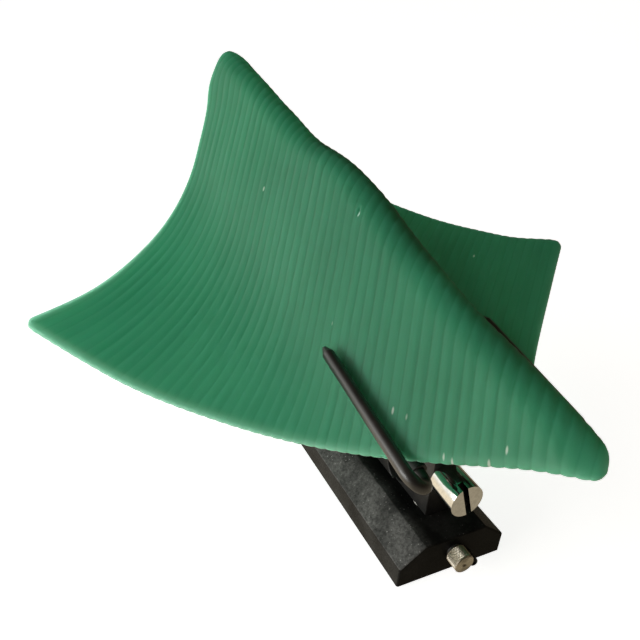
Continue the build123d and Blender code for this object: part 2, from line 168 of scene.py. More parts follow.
# ---- materials ----------------------------------------------------------------------
def surface(material, dark, light, rough, metallic=0.0, scale=300.0, stretch=(1, 1, 1),
            bump=0.1, depth=0.1, fine=4.0, **sockets):
    """General finish: two-tone noise, uneven gloss and a fine relief."""
    tree = Tree(material)
    where = tree.place(stretch)
    grain = tree.noise(where, scale * fine, 4.0)
    tone = tree.mix(tree.ramp(tree.noise(where, scale), 0.3, 0.7), dark, light)
    gloss = tree.ramp(grain, 0.3, 0.7, *rough)
    tree.principled(tone, gloss, tree.relief(bump, depth, grain), Metallic=metallic, **sockets)


def base_paint(material):
    """Black crackle paint on a casting; dust and pale specks lie on its faces that look up.

    The near side, with Y below about -11 mm, carries the dust and pale specks; there the pale dust colour is
    also painted light, making the lit near chamfer lighter.
    """
    tree = Tree(material)
    where = tree.place()
    patches = tree.noise(where, 55.0, 4.0)
    grit = tree.noise(where, 1500.0, 3.0, 0.6)
    haze = tree.noise(where, 560.0, 5.0, 0.72)
    pits = tree.cells(where, 900.0)[0]
    specks, lot = tree.cells(where, 850.0)
    # painted light as well as wear: the near side, where the light falls, is picked out by its Y
    wear_and_lit_side = tree.ramp(tree.part(where, "Y"), -11 * MM, -24 * MM)
    facing = tree.add("TexCoord").outputs["Normal"]
    upward = tree.ramp(tree.part(facing, "Z"), 0.2, 0.5, 0.06, 1.0)
    cloud = tree.ramp(haze, 0.25, 0.75, 0.25, 1.0)
    # dust colour on up-facing near faces, which also paints the lit near chamfer lighter
    dust_and_painted_light = tree.times(cloud, tree.ramp(patches, 0.32, 0.64, 0.35, 1.0),
                       tree.ramp(wear_and_lit_side, 0.0, 1.0, 0.06, 0.85, False), upward)
    dots = tree.ramp(specks, 0.16, 0.34, 1.0, 0.0)
    # real pale specks, kept to the lit near side as painted light
    pale = tree.times(dots, tree.ramp(lot, 0.78, 0.92), tree.ramp(haze, 0.38, 0.58),
                      tree.ramp(wear_and_lit_side, 0.0, 1.0, 0.18, 0.80, False), upward)
    tone = tree.mix(tree.ramp(patches, 0.35, 0.68), (0.003, 0.003, 0.003), (0.009, 0.009, 0.009))
    tone = tree.mix(dust_and_painted_light, tone, (0.190, 0.191, 0.185))
    tone = tree.mix(pale, tone, (0.40, 0.40, 0.39))
    gloss = tree.ramp(grit, 0.3, 0.7, 0.34, 0.58)
    height = tree.math("ADD", tree.times(grit, 0.6), tree.ramp(pits, 0.0, 0.5, 0.0, 0.5))
    tree.principled(tone, gloss, tree.relief(0.30, 0.16, height), Specular_IOR_Level=0.05)


def rod_paint(material):
    """Satin black bar with fine drawn marks along it."""
    tree = Tree(material)
    streaks = tree.noise(tree.place((0.12, 1.0, 1.0)), 1300.0)
    patches = tree.noise(tree.place(), 90.0)
    tone = tree.mix(tree.ramp(patches, 0.35, 0.65), (0.012, 0.011, 0.010), (0.024, 0.021, 0.019))
    gloss = tree.ramp(streaks, 0.3, 0.7, 0.30, 0.44)
    tree.principled(tone, gloss, tree.relief(0.18, 0.05, streaks), Specular_IOR_Level=0.90)


def glass_finish(material):
    """Satin green fused glass, with streaks along its reeds, painted shade in the grooves, a pale rim that is
    partly a painted highlight on the lit near side, pale flecks and a small fresh chip.
    """
    tree = Tree(material)
    flat = tree.attribute("flat", "Vector")
    streaks = tree.noise(tree.stretched(flat, (1.0, 0.05, 1.0)), 480.0, 4.0, 0.6)
    broad = tree.noise(tree.stretched(flat, (1.0, 0.3, 1.0)), 22.0)
    tone = tree.mix(tree.ramp(broad, 0.3, 0.7), (0.026, 0.190, 0.098), (0.034, 0.222, 0.118))
    tone = tree.mix(tree.ramp(streaks, 0.35, 0.75, 0.0, 0.30), tone, (0.045, 0.27, 0.150))
    # painted shade: the grooves between the reeds are darkened
    painted_groove_shade = tree.ramp(tree.attribute("crest"), 0.0, 0.5, 0.35, 0.0)
    tone = tree.mix(painted_groove_shade, tone, (0.012, 0.150, 0.066))
    # pale rim: partly the thin edge's own colour, partly a painted highlight, strongest on the lit near side
    tone = tree.mix(tree.ramp(tree.attribute("rim"), 0.0, 1.0, 0.0, 0.55), tone, (0.22, 0.36, 0.29))
    dots, lot = tree.cells(tree.stretched(flat, (1.0, 0.35, 1.0)), 260.0)
    chosen = tree.math("GREATER_THAN", lot, tree.ramp(tree.attribute("low"), 0.12, 0.70, 0.997, 0.50))
    fleck = tree.times(tree.ramp(dots, 0.08, 0.22, 1.0, 0.0), chosen, 0.6)
    tone = tree.mix(fleck, tone, (0.62, 0.70, 0.62))
    fresh = tree.ramp(tree.attribute("chip"), 0.25, 0.8, 0.0, 0.9)
    tone = tree.mix(fresh, tone, (0.50, 0.80, 0.66))
    gloss = tree.ramp(streaks, 0.3, 0.7, 0.46, 0.58)
    height = tree.math("ADD", tree.times(streaks, 0.8), tree.times(tree.noise(flat, 900.0), 0.3))
    tree.principled(tone, gloss, tree.relief(0.35, 0.12, height), Specular_IOR_Level=0.30,
                    Subsurface_Weight=1.0, Subsurface_Radius=(0.74, 0.98, 0.90),
                    Subsurface_Scale=18.0 * MM)


# Mask for the painted shade in the brake screw's coin slot.
def screw_slot(tree, local):
    """1 inside the coin slot of the brake screw, and 0 elsewhere."""
    across = tree.dot(local, (0.0, math.cos(SLOT_LEAN), math.sin(SLOT_LEAN)))
    inside = tree.math("LESS_THAN", tree.math("ABSOLUTE", across), (SLOT_WIDTH / 2 + 0.03) * MM)
    floor_x = SLOT_MIDDLE - SLOT_DEEP / 2 - 0.3
    return tree.times(inside, tree.math("GREATER_THAN", tree.part(local, "X"), floor_x * MM))


def turned(material, tint, rough, axis_node, dark_part=None):
    """Bright metal with turning marks round the X axis of a node, and painted shade making one part of it
    near black.
    """
    pitch = 0.35 * MM
    tree = Tree(material)
    low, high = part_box(axis_node)
    middle = (low + high) / 2
    coordinate = tree.add("TexCoord").outputs["Object"]
    local = tree.add("Mapping", {"Vector": coordinate, "Location": (0, -middle.y, -middle.z)}).outputs[0]
    flat = tree.add("VectorMath", {0: local, 1: (0.0, 1.0, 1.0)}, operation="MULTIPLY").outputs[0]
    radius = tree.add("VectorMath", {0: flat}, operation="LENGTH").outputs["Value"]
    rings = tree.add("TexNoise", {"W": tree.times(radius, 1 / pitch), "Scale": 1.0, "Detail": 3.0},
                     noise_dimensions="1D").outputs[0]
    smudge = tree.noise(coordinate, 400.0)
    tone = tree.mix(tree.ramp(smudge, 0.3, 0.7), tuple(0.86 * v for v in tint), tint)
    if dark_part:
        # painted shade: the recess is painted near black
        tone = tree.mix(dark_part(tree, local), tone, (0.012, 0.011, 0.010))
    gloss = tree.ramp(rings, 0.3, 0.7, *rough)
    tree.principled(tone, gloss, tree.relief(0.22, 0.03, rings), Metallic=1.0)


def winding(material):
    """Enamelled copper wire, wound round a ring."""
    tree = Tree(material)
    wave = tree.add("TexWave", {"Vector": tree.place(), "Scale": 420.0, "Distortion": 1.5}).outputs["Fac"]
    tone = tree.mix(wave, (0.20, 0.06, 0.02), (0.75, 0.32, 0.14))
    tree.principled(tone, 0.3, tree.relief(0.8, 0.3, wave), Metallic=0.8)


# For each slot, the function that makes its finish, and what it is given.
FINISHES = {
    "base_black": (base_paint, {}),
    "rod_black": (rod_paint, {}),
    "green_glass": (glass_finish, {}),
    "chrome": (turned, dict(tint=(0.80, 0.79, 0.76), rough=(0.05, 0.12), axis_node="brake_screw",
                            dark_part=screw_slot)),
    "knob_nickel": (turned, dict(tint=(0.58, 0.53, 0.44), rough=(0.24, 0.38), axis_node="dimmer_knob")),
    "copper_winding": (winding, {}),
    "upright_black": (surface, dict(dark=(0.012, 0.012, 0.012), light=(0.022, 0.021, 0.020),
                                    rough=(0.36, 0.52), scale=160.0, bump=0.25, depth=0.08, fine=7.0,
                                    Specular_IOR_Level=0.3)),
    "cover_steel": (surface, dict(dark=(0.014, 0.014, 0.014), light=(0.026, 0.026, 0.025),
                                  rough=(0.40, 0.55), scale=140.0, bump=0.15, depth=0.05, fine=9.0)),
    "small_steel": (surface, dict(dark=(0.45, 0.44, 0.42), light=(0.62, 0.61, 0.58),
                                  rough=(0.25, 0.42), metallic=1.0, scale=500.0)),
    "pad_rubber": (surface, dict(dark=(0.012, 0.012, 0.012), light=(0.028, 0.028, 0.027),
                                 rough=(0.75, 0.92), scale=400.0, bump=0.5, depth=0.15)),
    "ballast_iron": (surface, dict(dark=(0.07, 0.065, 0.06), light=(0.16, 0.14, 0.12),
                                   rough=(0.55, 0.8), metallic=0.6, scale=120.0, bump=0.5, depth=0.4)),
    "board": (surface, dict(dark=(0.28, 0.18, 0.07), light=(0.40, 0.27, 0.12), rough=(0.40, 0.55),
                            scale=700.0, stretch=(1.0, 0.25, 1.0), bump=0.3)),
    "black_plastic": (surface, dict(dark=(0.015, 0.015, 0.016), light=(0.03, 0.03, 0.031),
                                    rough=(0.38, 0.5), scale=500.0, bump=0.2, depth=0.05)),
    "terminal_plastic": (surface, dict(dark=(0.50, 0.48, 0.42), light=(0.66, 0.64, 0.58),
                                       rough=(0.4, 0.5), scale=250.0)),
    "brass_parts": (surface, dict(dark=(0.55, 0.38, 0.14), light=(0.78, 0.57, 0.25),
                                  rough=(0.22, 0.38), metallic=1.0, scale=400.0)),
    "gland_rubber": (surface, dict(dark=(0.010, 0.010, 0.010), light=(0.020, 0.020, 0.020),
                                   rough=(0.55, 0.7), scale=600.0, bump=0.3)),
    "nylon": (surface, dict(dark=(0.62, 0.61, 0.56), light=(0.76, 0.75, 0.70), rough=(0.42, 0.55))),
    "silicone": (surface, dict(dark=(0.030, 0.032, 0.031), light=(0.055, 0.058, 0.056),
                               rough=(0.55, 0.7), scale=400.0, bump=0.2)),
    "reflector_aluminium": (surface, dict(dark=(0.66, 0.66, 0.67), light=(0.82, 0.82, 0.82),
                                          rough=(0.28, 0.42), metallic=1.0, scale=160.0,
                                          stretch=(0.15, 1.0, 1.0), bump=0.25, fine=8.0)),
    "quartz": (surface, dict(dark=(0.80, 0.82, 0.84), light=(0.92, 0.93, 0.94), rough=(0.04, 0.10),
                             scale=200.0, bump=0.05, Transmission_Weight=0.85, IOR=1.46)),
    "tungsten": (surface, dict(dark=(0.16, 0.16, 0.17), light=(0.34, 0.34, 0.36),
                               rough=(0.3, 0.5), metallic=1.0, scale=2500.0, bump=0.8)),
    "ceramic_white": (surface, dict(dark=(0.66, 0.64, 0.60), light=(0.82, 0.80, 0.76),
                                    rough=(0.42, 0.6), scale=350.0, bump=0.2)),
}
materials = {}
for slot_name, (maker, settings) in FINISHES.items():
    materials[slot_name] = bpy.data.materials.new(slot_name)
    maker(materials[slot_name], **settings)
for entry in frame["record"]["subparts"]:
    mesh = nodes[entry["node"]].data
    mesh.materials.clear()
    mesh.materials.append(materials[entry["material_slot"]])


# ---- mesh helpers -------------------------------------------------------------------
def linked(name, data):
    """New object in the scene."""
    thing = bpy.data.objects.new(name, data)
    bpy.context.scene.collection.objects.link(thing)
    return thing


def add_piece(name, mesh, slot, body, *replaced):
    """Puts a finished mesh in the scene as a piece."""
    piece = linked(name, mesh)
    mesh.materials.clear()
    mesh.materials.append(materials[slot])
    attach(piece, body)
    if replaced:
        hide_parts(*replaced)


def baked(thing):
    """Mesh of an object with its modifiers applied; the object is removed."""
    bpy.context.view_layer.update()
    graph = bpy.context.evaluated_depsgraph_get()
    mesh = bpy.data.meshes.new_from_object(thing.evaluated_get(graph))
    mesh.transform(thing.matrix_world)
    bpy.data.objects.remove(thing)
    return mesh


def kept(name, work):
    """Mesh of a bmesh, which is freed."""
    mesh = bpy.data.meshes.new(name)
    work.to_mesh(mesh)
    work.free()
    return mesh


def welded(mesh):
    """Merges touching vertices and points the faces outwards."""
    work = bmesh.new()
    work.from_mesh(mesh)
    bmesh.ops.remove_doubles(work, verts=work.verts, dist=0.002 * MM)
    bmesh.ops.recalc_face_normals(work, faces=work.faces)
    work.to_mesh(mesh)
    work.free()
    return mesh


def smooth(mesh, angle=35.0):
    """Smooth shading, with edges sharper than the angle kept."""
    mesh.shade_smooth()
    mesh.set_sharp_from_angle(angle=math.radians(angle))
    return mesh


def cylinder(name, radius, length, place, segments):
    """Closed cylinder along Z, turned and moved to its place."""
    work = bmesh.new()
    bmesh.ops.create_cone(work, cap_ends=True, segments=segments, radius1=radius * MM,
                          radius2=radius * MM, depth=length)
    bmesh.ops.transform(work, matrix=place, verts=work.verts)
    return kept(name, work)


def cut(mesh, tool_mesh):
    """Subtracts a closed mesh from another."""
    thing = linked("work", mesh)
    tool = linked("tool", tool_mesh)
    modifier = thing.modifiers.new("cut", "BOOLEAN")
    modifier.operation = "DIFFERENCE"
    modifier.solver = "EXACT"
    modifier.object = tool
    result = baked(thing)
    bpy.data.objects.remove(tool)
    return result


def drilled(mesh, start, end, radius):
    """Cuts a round hole."""
    start, end = Vector(start) * MM, Vector(end) * MM
    turn = (end - start).to_track_quat("Z", "Y").to_matrix().to_4x4()
    place = Matrix.Translation((start + end) / 2) @ turn
    return cut(mesh, cylinder("tool", radius, (end - start).length, place, 48))


def lathe(name, outline, steps, ripple=None):
    """Closed turned mesh about +X from (x, radius) points; ripple(x, radius, turn) moves a radius."""
    work = bmesh.new()
    rings = []
    for x, radius in outline:
        if radius <= 0:
            rings.append([work.verts.new((x * MM, 0, 0))])
            continue
        ring = []
        for step in range(steps):
            turn = 2 * math.pi * step / steps
            size = radius + (ripple(x, radius, turn) if ripple else 0.0)
            ring.append(work.verts.new((x * MM, size * MM * math.cos(turn), size * MM * math.sin(turn))))
        rings.append(ring)
    for one, two in zip(rings, rings[1:]):
        for step in range(steps):
            after = (step + 1) % steps
            corners = [one[step % len(one)], one[after % len(one)],
                       two[after % len(two)], two[step % len(two)]]
            unique = list(dict.fromkeys(corners))
            if len(unique) > 2:
                work.faces.new(unique)
    bmesh.ops.recalc_face_normals(work, faces=work.faces)
    return kept(name, work)


# ---- glass shade --------------------------------------------------------------------
# The sheet's own axes a and b run along its sides, and the ribs run along b. Its corners are the rear
# one (a and b low), the front one (a and b high), the near one (a low, b high) and the far one (a high,
# b low). The ridge is the diagonal u from rear to front, and v is the distance from it, below 0 on the
# near side.
RIB_COUNT, RIB_SAMPLES, LONG_SAMPLES = 51, 8, 79
RIB_LOW, RIB_SPREAD = 0.20, 0.18
UPPER_HALF, LOWER_HALF = 1.55, 1.85
UPPER_ROUND, LOWER_ROUND, RIB_CALM = 4.6, 2.6, 9.0
CORNER_ROUND, FRONT_ROUND = 9.0, 5.5
CHIP_A, CHIP_B = 11.3, 26.9
RIM_STEPS = np.array([0, 0.12, 0.4, 0.85, 1.4, 2.1, 2.9, 3.8, 4.7, 5.8, 7.2, 9.0])
# Runs from the ridge down: radius of the arc, or length where straight, and first and last slope.
DRAPE = ((14.0, 0.0, 52.0), (56.0, 52.0, 52.0), (70.0, 52.0, 3.0), (135.0, 3.0, -19.0), (200.0, -19.0, -19.0))
# Slump of the ridge: place along it, and lift.
RIDGE_LIFTS = ((-185, -1.8), (-130, -2.5), (-75, -3.2), (-20, 4.2), (18, 4.2), (110, -2.3))
RIDGE_SPREAD = 32


def bell(value, middle, width):
    """1 at the middle, falling to 0 on both sides."""
    return np.exp(-((value - middle) / width) ** 2)


def section(distance):
    """Distance out, height and slope of the draped sheet at distances from the ridge."""
    y, w, slope = (np.zeros_like(distance) for _ in range(3))
    start_y, start_w, walked = 0.0, RIDGE_HEIGHT, 0.0
    for size, first, last in DRAPE:
        straight = first == last
        length = size if straight else size * math.radians(abs(last - first))
        share = np.clip((distance - walked) / length, 0, 1)
        inside = distance >= walked
        angle = np.radians(first + (last - first) * share)
        begin, end = math.radians(first), math.radians(last)
        if straight:
            here_y = start_y + size * share * math.cos(begin)
            here_w = start_w - size * share * math.sin(begin)
            start_y += size * math.cos(end)
            start_w -= size * math.sin(end)
        else:
            turn = 1 if last > first else -1
            here_y = start_y + turn * size * (np.sin(angle) - math.sin(begin))
            here_w = start_w + turn * size * (np.cos(angle) - math.cos(begin))
            start_y += turn * size * (math.sin(end) - math.sin(begin))
            start_w += turn * size * (math.cos(end) - math.cos(begin))
        y, w = np.where(inside, here_y, y), np.where(inside, here_w, w)
        slope = np.where(inside, angle, slope)
        walked += length
    return y, w, slope


def ribs():
    """Rows across the uneven ribs, each rib's crest share there, and its height."""
    chance = np.random.RandomState(11)
    widths = 1 + 0.10 * (chance.rand(RIB_COUNT) - 0.5)
    seams = np.concatenate([[0], np.cumsum(widths)])
    seams = (seams / seams[-1] * 2 - 1) * HALF_SIDE
    tall = RIB_LOW + RIB_SPREAD * chance.rand(RIB_COUNT)
    share = np.linspace(0, 1, RIB_SAMPLES + 1)[:-1]
    swell = 1 - (2 * share - 1) ** 2
    rows = (seams[:-1, None] + np.diff(seams)[:, None] * share).reshape(-1)
    return rows, np.tile(swell, RIB_COUNT), (tall[:, None] * swell).reshape(-1)


def sheet_grid():
    """Grid of a and b, closer at the rim and at the chip, with the crest share and rib height."""
    rows, row_crests, row_heights = ribs()
    rim_rows = HALF_SIDE - RIM_STEPS[:5]
    near_chip = np.linspace(-2.1, 2.1, 13)
    a_all = np.unique(np.round(np.concatenate([rows, rim_rows, -rim_rows, CHIP_A + near_chip]), 4))
    inset = HALF_SIDE - RIM_STEPS[-1]
    b_all = np.concatenate([HALF_SIDE - RIM_STEPS, np.linspace(-inset, inset, LONG_SAMPLES),
                            RIM_STEPS - HALF_SIDE, CHIP_B + 2.4 * near_chip])
    b_all = np.unique(np.round(b_all, 4))
    a, b = np.meshgrid(a_all, b_all, indexing="ij")
    crest = np.repeat(np.interp(a_all, rows, row_crests)[:, None], len(b_all), 1)
    height = np.repeat(np.interp(a_all, rows, row_heights)[:, None], len(b_all), 1)
    ease = np.sin(b / 23.0 + a / 61.0) * 0.12 + np.sin(b / 9.0 - a / 17.0) * 0.06
    return a, b, crest, height * (1 + ease)


def rounded_square(a, b, crest):
    """Moves the grid to round the corners, and scallops the two rims that the ribs run out to."""
    radius = np.where((a > 0) & (b > 0), FRONT_ROUND, CORNER_ROUND)
    start = HALF_SIDE - radius
    p = np.clip((np.abs(a) - start) / radius, 0, 1)
    q = np.clip((np.abs(b) - start) / radius, 0, 1)
    flat_a = np.where(p > 0, np.sign(a) * (start + radius * p * np.sqrt(1 - q * q / 2)), a)
    flat_b = np.where(q > 0, np.sign(b) * (start + radius * q * np.sqrt(1 - p * p / 2)), b)
    scallop = 0.45 * (crest - 0.5) * np.exp(-(HALF_SIDE - np.abs(b)) / 2.2)
    return flat_a, flat_b + np.sign(b) * scallop


def bowed(a, b):
    """Sheet edges drawn in or out where the glass has slumped, fading inwards."""
    s, t = a / HALF_SIDE, b / HALF_SIDE
    reach = 70
    rear_near, far_front = np.exp(-(HALF_SIDE + a) / reach), np.exp(-(HALF_SIDE - a) / reach)
    rear_far, near_front = np.exp(-(HALF_SIDE + b) / reach), np.exp(-(HALF_SIDE - b) / reach)
    shoulder = 5.8 * bell(t, -0.79, 0.14)
    swell = 5.0 * bell(s, -0.62, 0.38) * (1 - s ** 12) + 4.5 * bell(s, 1, 0.16)
    new_a = a + rear_near * ((1 - t * t) * (4.0 + 5.6 * t) - shoulder) - far_front * 1.2 * (1 - t * t)
    new_b = b - near_front * ((1 - s * s) * (1.6 - 7.4 * s) - swell) + rear_far * 2.0 * (1 - s * s)
    return new_a, new_b


def sag(u, v):
    """Uneven slump of the ridge and droop of the side corners and the front tip."""
    ridge = 0.0
    for place, lift in RIDGE_LIFTS:
        ridge = ridge + lift * bell(u, place, RIDGE_SPREAD)
    front_tip = 2.6 * np.exp((np.minimum(u, 209) - 209) / 9)
    corner = np.where(v < 0, -2.5, -4.2) * (np.abs(v) / HALF_DIAGONAL) ** 3
    dip = np.where(v < 0, 2.8, 0.0) * bell(v, -180, 42) / (1 + np.exp(u / 30))
    return ridge * bell(v, 0, 50) - front_tip + corner - dip


def far_lift(a, b):
    """Rise and fall of the edge between the rear and the far corner."""
    s = a / HALF_SIDE
    wave = 3.4 * bell(s, 0.15, 0.3) - 2.4 * bell(s, 0.78, 0.14)
    return wave * np.exp(-(HALF_SIDE + b) / 60)


def thickness(a, b, height):
    """Offsets of the upper and the lower face from the middle surface, which meet at the rim."""
    edge = np.minimum(HALF_SIDE - np.abs(a), HALF_SIDE - np.abs(b))
    rounding = np.sqrt(1 - (1 - np.clip(edge / UPPER_ROUND, 0, 1)) ** 2)
    rounding_low = np.sqrt(1 - (1 - np.clip(edge / LOWER_ROUND, 0, 1)) ** 2)
    calm = np.clip(edge / RIB_CALM, 0, 1)
    upper = UPPER_HALF * rounding + height * (0.25 + 0.75 * calm * calm * (3 - 2 * calm)) - 0.1
    chip_depth = 0.9
    upper = upper - chip_depth * np.exp(-((a - CHIP_A) / 0.75) ** 2 - ((b - CHIP_B) / 2.2) ** 4)
    lower = -LOWER_HALF * rounding_low + 0.12 * height - 0.1 * (1 - rounding_low)
    return upper, np.where(edge <= 1e-6, upper, lower), edge


def draped(flat_a, flat_b):
    """Middle surface of the draped sheet, as a function from an offset to points; and v."""
    cut_a, cut_b = bowed(flat_a, flat_b)
    u = (cut_a + cut_b) / math.sqrt(2)
    v = (cut_a - cut_b) / math.sqrt(2)
    front_cut = 5.2 * np.exp((u - HALF_DIAGONAL) / 25)
    rear_cut = 0.6 * np.exp((-u - HALF_DIAGONAL) / 30)
    u = u - front_cut - rear_cut
    y, w, slope = section(np.abs(v))
    w = w + sag(u, v) + far_lift(flat_a, flat_b)
    flare = np.where(v < 0, 1.5, 5.0) * (np.abs(v) / HALF_DIAGONAL) ** 2
    y = y + flare
    side = np.where(v < 0, -1.0, 1.0)

    def placed(offset):
        """Points of the frame in metres, tilted about the shaft as the head is at rest."""
        head_x = GLASS_CENTRE + u
        head_y = side * (y + offset * np.sin(slope))
        head_w = w + offset * np.cos(slope)
        c, s = math.cos(REST_TILT), math.sin(REST_TILT)
        x = TILT_X + head_x * c + head_w * s
        z = TILT_Z - head_x * s + head_w * c
        return np.stack([x, head_y, z], -1) * MM

    return placed, v


def inner(values):
    """Values of the grid's points off its rim."""
    return values[1:-1, 1:-1]


def quads(index):
    """Corner indices of a grid's quads."""
    corners = [index[:-1, :-1], index[1:, :-1], index[1:, 1:], index[:-1, 1:]]
    return np.stack([corner.reshape(-1) for corner in corners], -1)


def closed_sheet(name, top, bottom):
    """Mesh of two grids that share their rim points, which are the top's."""
    count_a, count_b = top.shape[:2]
    top_index = np.arange(count_a * count_b).reshape(count_a, count_b)
    low_index = top_index.copy()
    low_index[1:-1, 1:-1] = count_a * count_b + np.arange(inner(top_index).size).reshape(
        count_a - 2, count_b - 2)
    points = np.concatenate([top.reshape(-1, 3), inner(bottom).reshape(-1, 3)])
    faces = np.concatenate([quads(top_index)[:, ::-1], quads(low_index)])
    mesh = bpy.data.meshes.new(name)
    mesh.from_pydata(points.tolist(), [], faces.tolist())
    return mesh


def both(values):
    """Values for the top points and then the inner bottom points, as the mesh orders them."""
    return np.concatenate([values.reshape(-1), inner(values).reshape(-1)])


def glass_mesh():
    """Square reeded sheet with rounded corners and a fire-polished rim, draped on its diagonal."""
    a, b, crest, height = sheet_grid()
    flat_a, flat_b = rounded_square(a, b, crest)
    placed, v = draped(flat_a, flat_b)
    upper, lower, edge = thickness(a, b, height)
    mesh = closed_sheet("glass_shade_reeded", placed(upper), placed(lower))
    masks = {
        "crest": crest,
        # rim mask: strongest on the near side, where it carries a painted highlight
        "rim": np.exp(-(edge / 4.6) ** 2) * np.clip((-v - 50) / 120, 0.15, 1),
        "low": np.exp(-np.clip(HALF_SIDE - b, 0, 400) / 22.0) * bell(a, 72, 45),
        "chip": np.exp(-((a - CHIP_A - 0.5) / 0.8) ** 2 - ((b - CHIP_B - 1.6) / 1.5) ** 2),
    }
    for label, values in masks.items():
        layer = mesh.attributes.new(label, "FLOAT", "POINT")
        layer.data.foreach_set("value", both(values).astype(np.float32))
    layer = mesh.attributes.new("flat", "FLOAT_VECTOR", "POINT")
    flat = np.stack([both(flat_a), both(flat_b), np.zeros(len(mesh.vertices))], -1) * MM
    layer.data.foreach_set("vector", flat.astype(np.float32).reshape(-1))
    mesh.shade_smooth()
    return mesh


add_piece("glass_shade_reeded", glass_mesh(), "green_glass", "head", "glass_shade")


# ---- upright ------------------------------------------------------------------------
def arc(cx, cz, radius, start, end, steps=14):
    """Points on an arc, in degrees."""
    turns = [math.radians(start + (end - start) * i / steps) for i in range(steps + 1)]
    return [(cx + radius * math.cos(turn), cz + radius * math.sin(turn)) for turn in turns]


def plate(name, outline, holes, half, bevel):
    """Flat casting from an XZ outline, with rounded edges."""
    curve = bpy.data.curves.new(name, "CURVE")
    curve.dimensions = "2D"
    curve.fill_mode = "BOTH"
    curve.extrude = (half - bevel) * MM
    curve.bevel_depth = bevel * MM
    curve.bevel_resolution = 3
    curve.offset = -bevel * MM
    for points in [outline, *holes]:
        spline = curve.splines.new("POLY")
        spline.points.add(len(points) - 1)
        spline.use_cyclic_u = True
        for point, (x, z) in zip(spline.points, points):
            point.co = (x * MM, z * MM, 0, 1)
    thing = linked(name, curve)
    thing.matrix_world = Matrix.Rotation(math.radians(90), 4, "X")
    return welded(baked(thing))


FOOT, FRONT, REAR = 24.35, 112.0, 58.0
LEG_TOP = 50.0
EYE_RADIUS, SHAFT_RADIUS, EYE_END = 12.0, 5.5, 146.8
# The window's corners: their radius, and where their centres are.
WINDOW_ROUND, WINDOW_BACK, WINDOW_FRONT, WINDOW_TOP = 7.0, 82.0, 84.0, 55.0
WINDOW_LOW = FOOT + 7.9
POST_X, POST_RADIUS, PLUG_RADIUS = 102, 5.05, 3.05


def upright_body():
    """Fin with a slanted back, a rounded window, the shaft's eye, and bores for post and brake plug."""
    side = [(REAR, FOOT), (FRONT, FOOT)] + arc(TILT_X, TILT_Z, EYE_RADIUS, 0, EYE_END, 26) + [(REAR, 46.0)]
    window = (arc(WINDOW_FRONT, WINDOW_LOW, WINDOW_ROUND, 270, 360)
              + arc(WINDOW_FRONT, WINDOW_TOP, WINDOW_ROUND, 0, 90)
              + arc(WINDOW_BACK, WINDOW_TOP, WINDOW_ROUND, 90, 180)
              + arc(WINDOW_BACK, WINDOW_LOW, WINDOW_ROUND, 180, 270))
    eye = arc(TILT_X, TILT_Z, SHAFT_RADIUS, 0, 354, 59)
    mesh = plate("upright", side, [window, eye], 7.9, 0.6)
    mesh = drilled(mesh, (POST_X, 0, 20), (POST_X, 0, 60.5), POST_RADIUS)
    return drilled(mesh, (104, 0, SCREW_Z), (115, 0, SCREW_Z), PLUG_RADIUS)


def rear_leg():
    """Wider rear leg, behind the window."""
    inside = arc(WINDOW_BACK, WINDOW_LOW, WINDOW_ROUND, 270, 180)
    top = [(WINDOW_BACK - WINDOW_ROUND, LEG_TOP), (64.0, LEG_TOP), (REAR, 42.0)]
    return plate("foot", [(REAR, FOOT), (WINDOW_BACK, FOOT)] + inside + top, [], 9.5, 0.8)


add_piece("upright_casting", smooth(upright_body()), "upright_black", "arm", "upright")
add_piece("upright_rear_leg", smooth(rear_leg()), "upright_black", "arm")


# ---- brake screw --------------------------------------------------------------------
def brake_screw():
    """Plated round head with a leaning coin slot and softened edges."""
    place = (Matrix.Translation(Vector((SCREW_MIDDLE, 0, SCREW_Z)) * MM)
             @ Matrix.Rotation(math.radians(90), 4, "Y"))
    head = cylinder("head", SCREW_RADIUS, SCREW_LENGTH * MM, place, 128)
    work = bmesh.new()
    size = Matrix.Diagonal((SLOT_DEEP * MM, SLOT_WIDTH * MM, SLOT_LONG * MM, 1))
    bmesh.ops.create_cube(work, size=1.0, matrix=size)
    place = (Matrix.Translation(Vector((SLOT_MIDDLE, 0, SCREW_Z)) * MM)
             @ Matrix.Rotation(SLOT_LEAN, 4, "X"))
    bmesh.ops.transform(work, matrix=place, verts=work.verts)
    thing = linked("screw", cut(head, kept("slot", work)))
    modifier = thing.modifiers.new("edge", "BEVEL")
    modifier.width = 0.45 * MM
    modifier.segments = 4
    modifier.limit_method = "ANGLE"
    modifier.angle_limit = math.radians(40)
    return baked(thing)


add_piece("brake_screw_head", smooth(brake_screw(), 30), "chrome", "tension_screw", "brake_screw")
STEM_OUTLINE = [(109.05, 0), (109.05, 2.6), (109.45, 3.0), (112.5, 3.0), (112.5, 0)]
stem = lathe("brake_screw_stem", STEM_OUTLINE, 48)
stem.transform(Matrix.Translation((0, 0, SCREW_Z * MM)))
add_piece("brake_screw_stem", smooth(stem), "chrome", "tension_screw")


# ---- dimmer knob and gland ----------------------------------------------------------
KNOB_BACK, KNOB_FRONT, KNOB_RADIUS, KNOB_Z = 131.3, 140.0, 5.6, 13.6
KNURLS, KNURL_RUN, KNURL_DEPTH = 36, 1.4, 0.32
GLAND_Y, GLAND_Z = 10.2, 6.5


def knurl(x, radius, turn):
    """Depth of the crossed knurl on the side of the knob."""
    if radius < KNOB_RADIUS - 0.02 or not KNOB_BACK + 0.8 < x < KNOB_FRONT - 0.7:
        return 0.0
    lead = turn * KNURLS / (2 * math.pi)
    one = abs((lead + x / KNURL_RUN) % 1 - 0.5) * 2
    two = abs((lead - x / KNURL_RUN) % 1 - 0.5) * 2
    return -KNURL_DEPTH * (1 - min(1.0, 1.5 * min(one, two)))


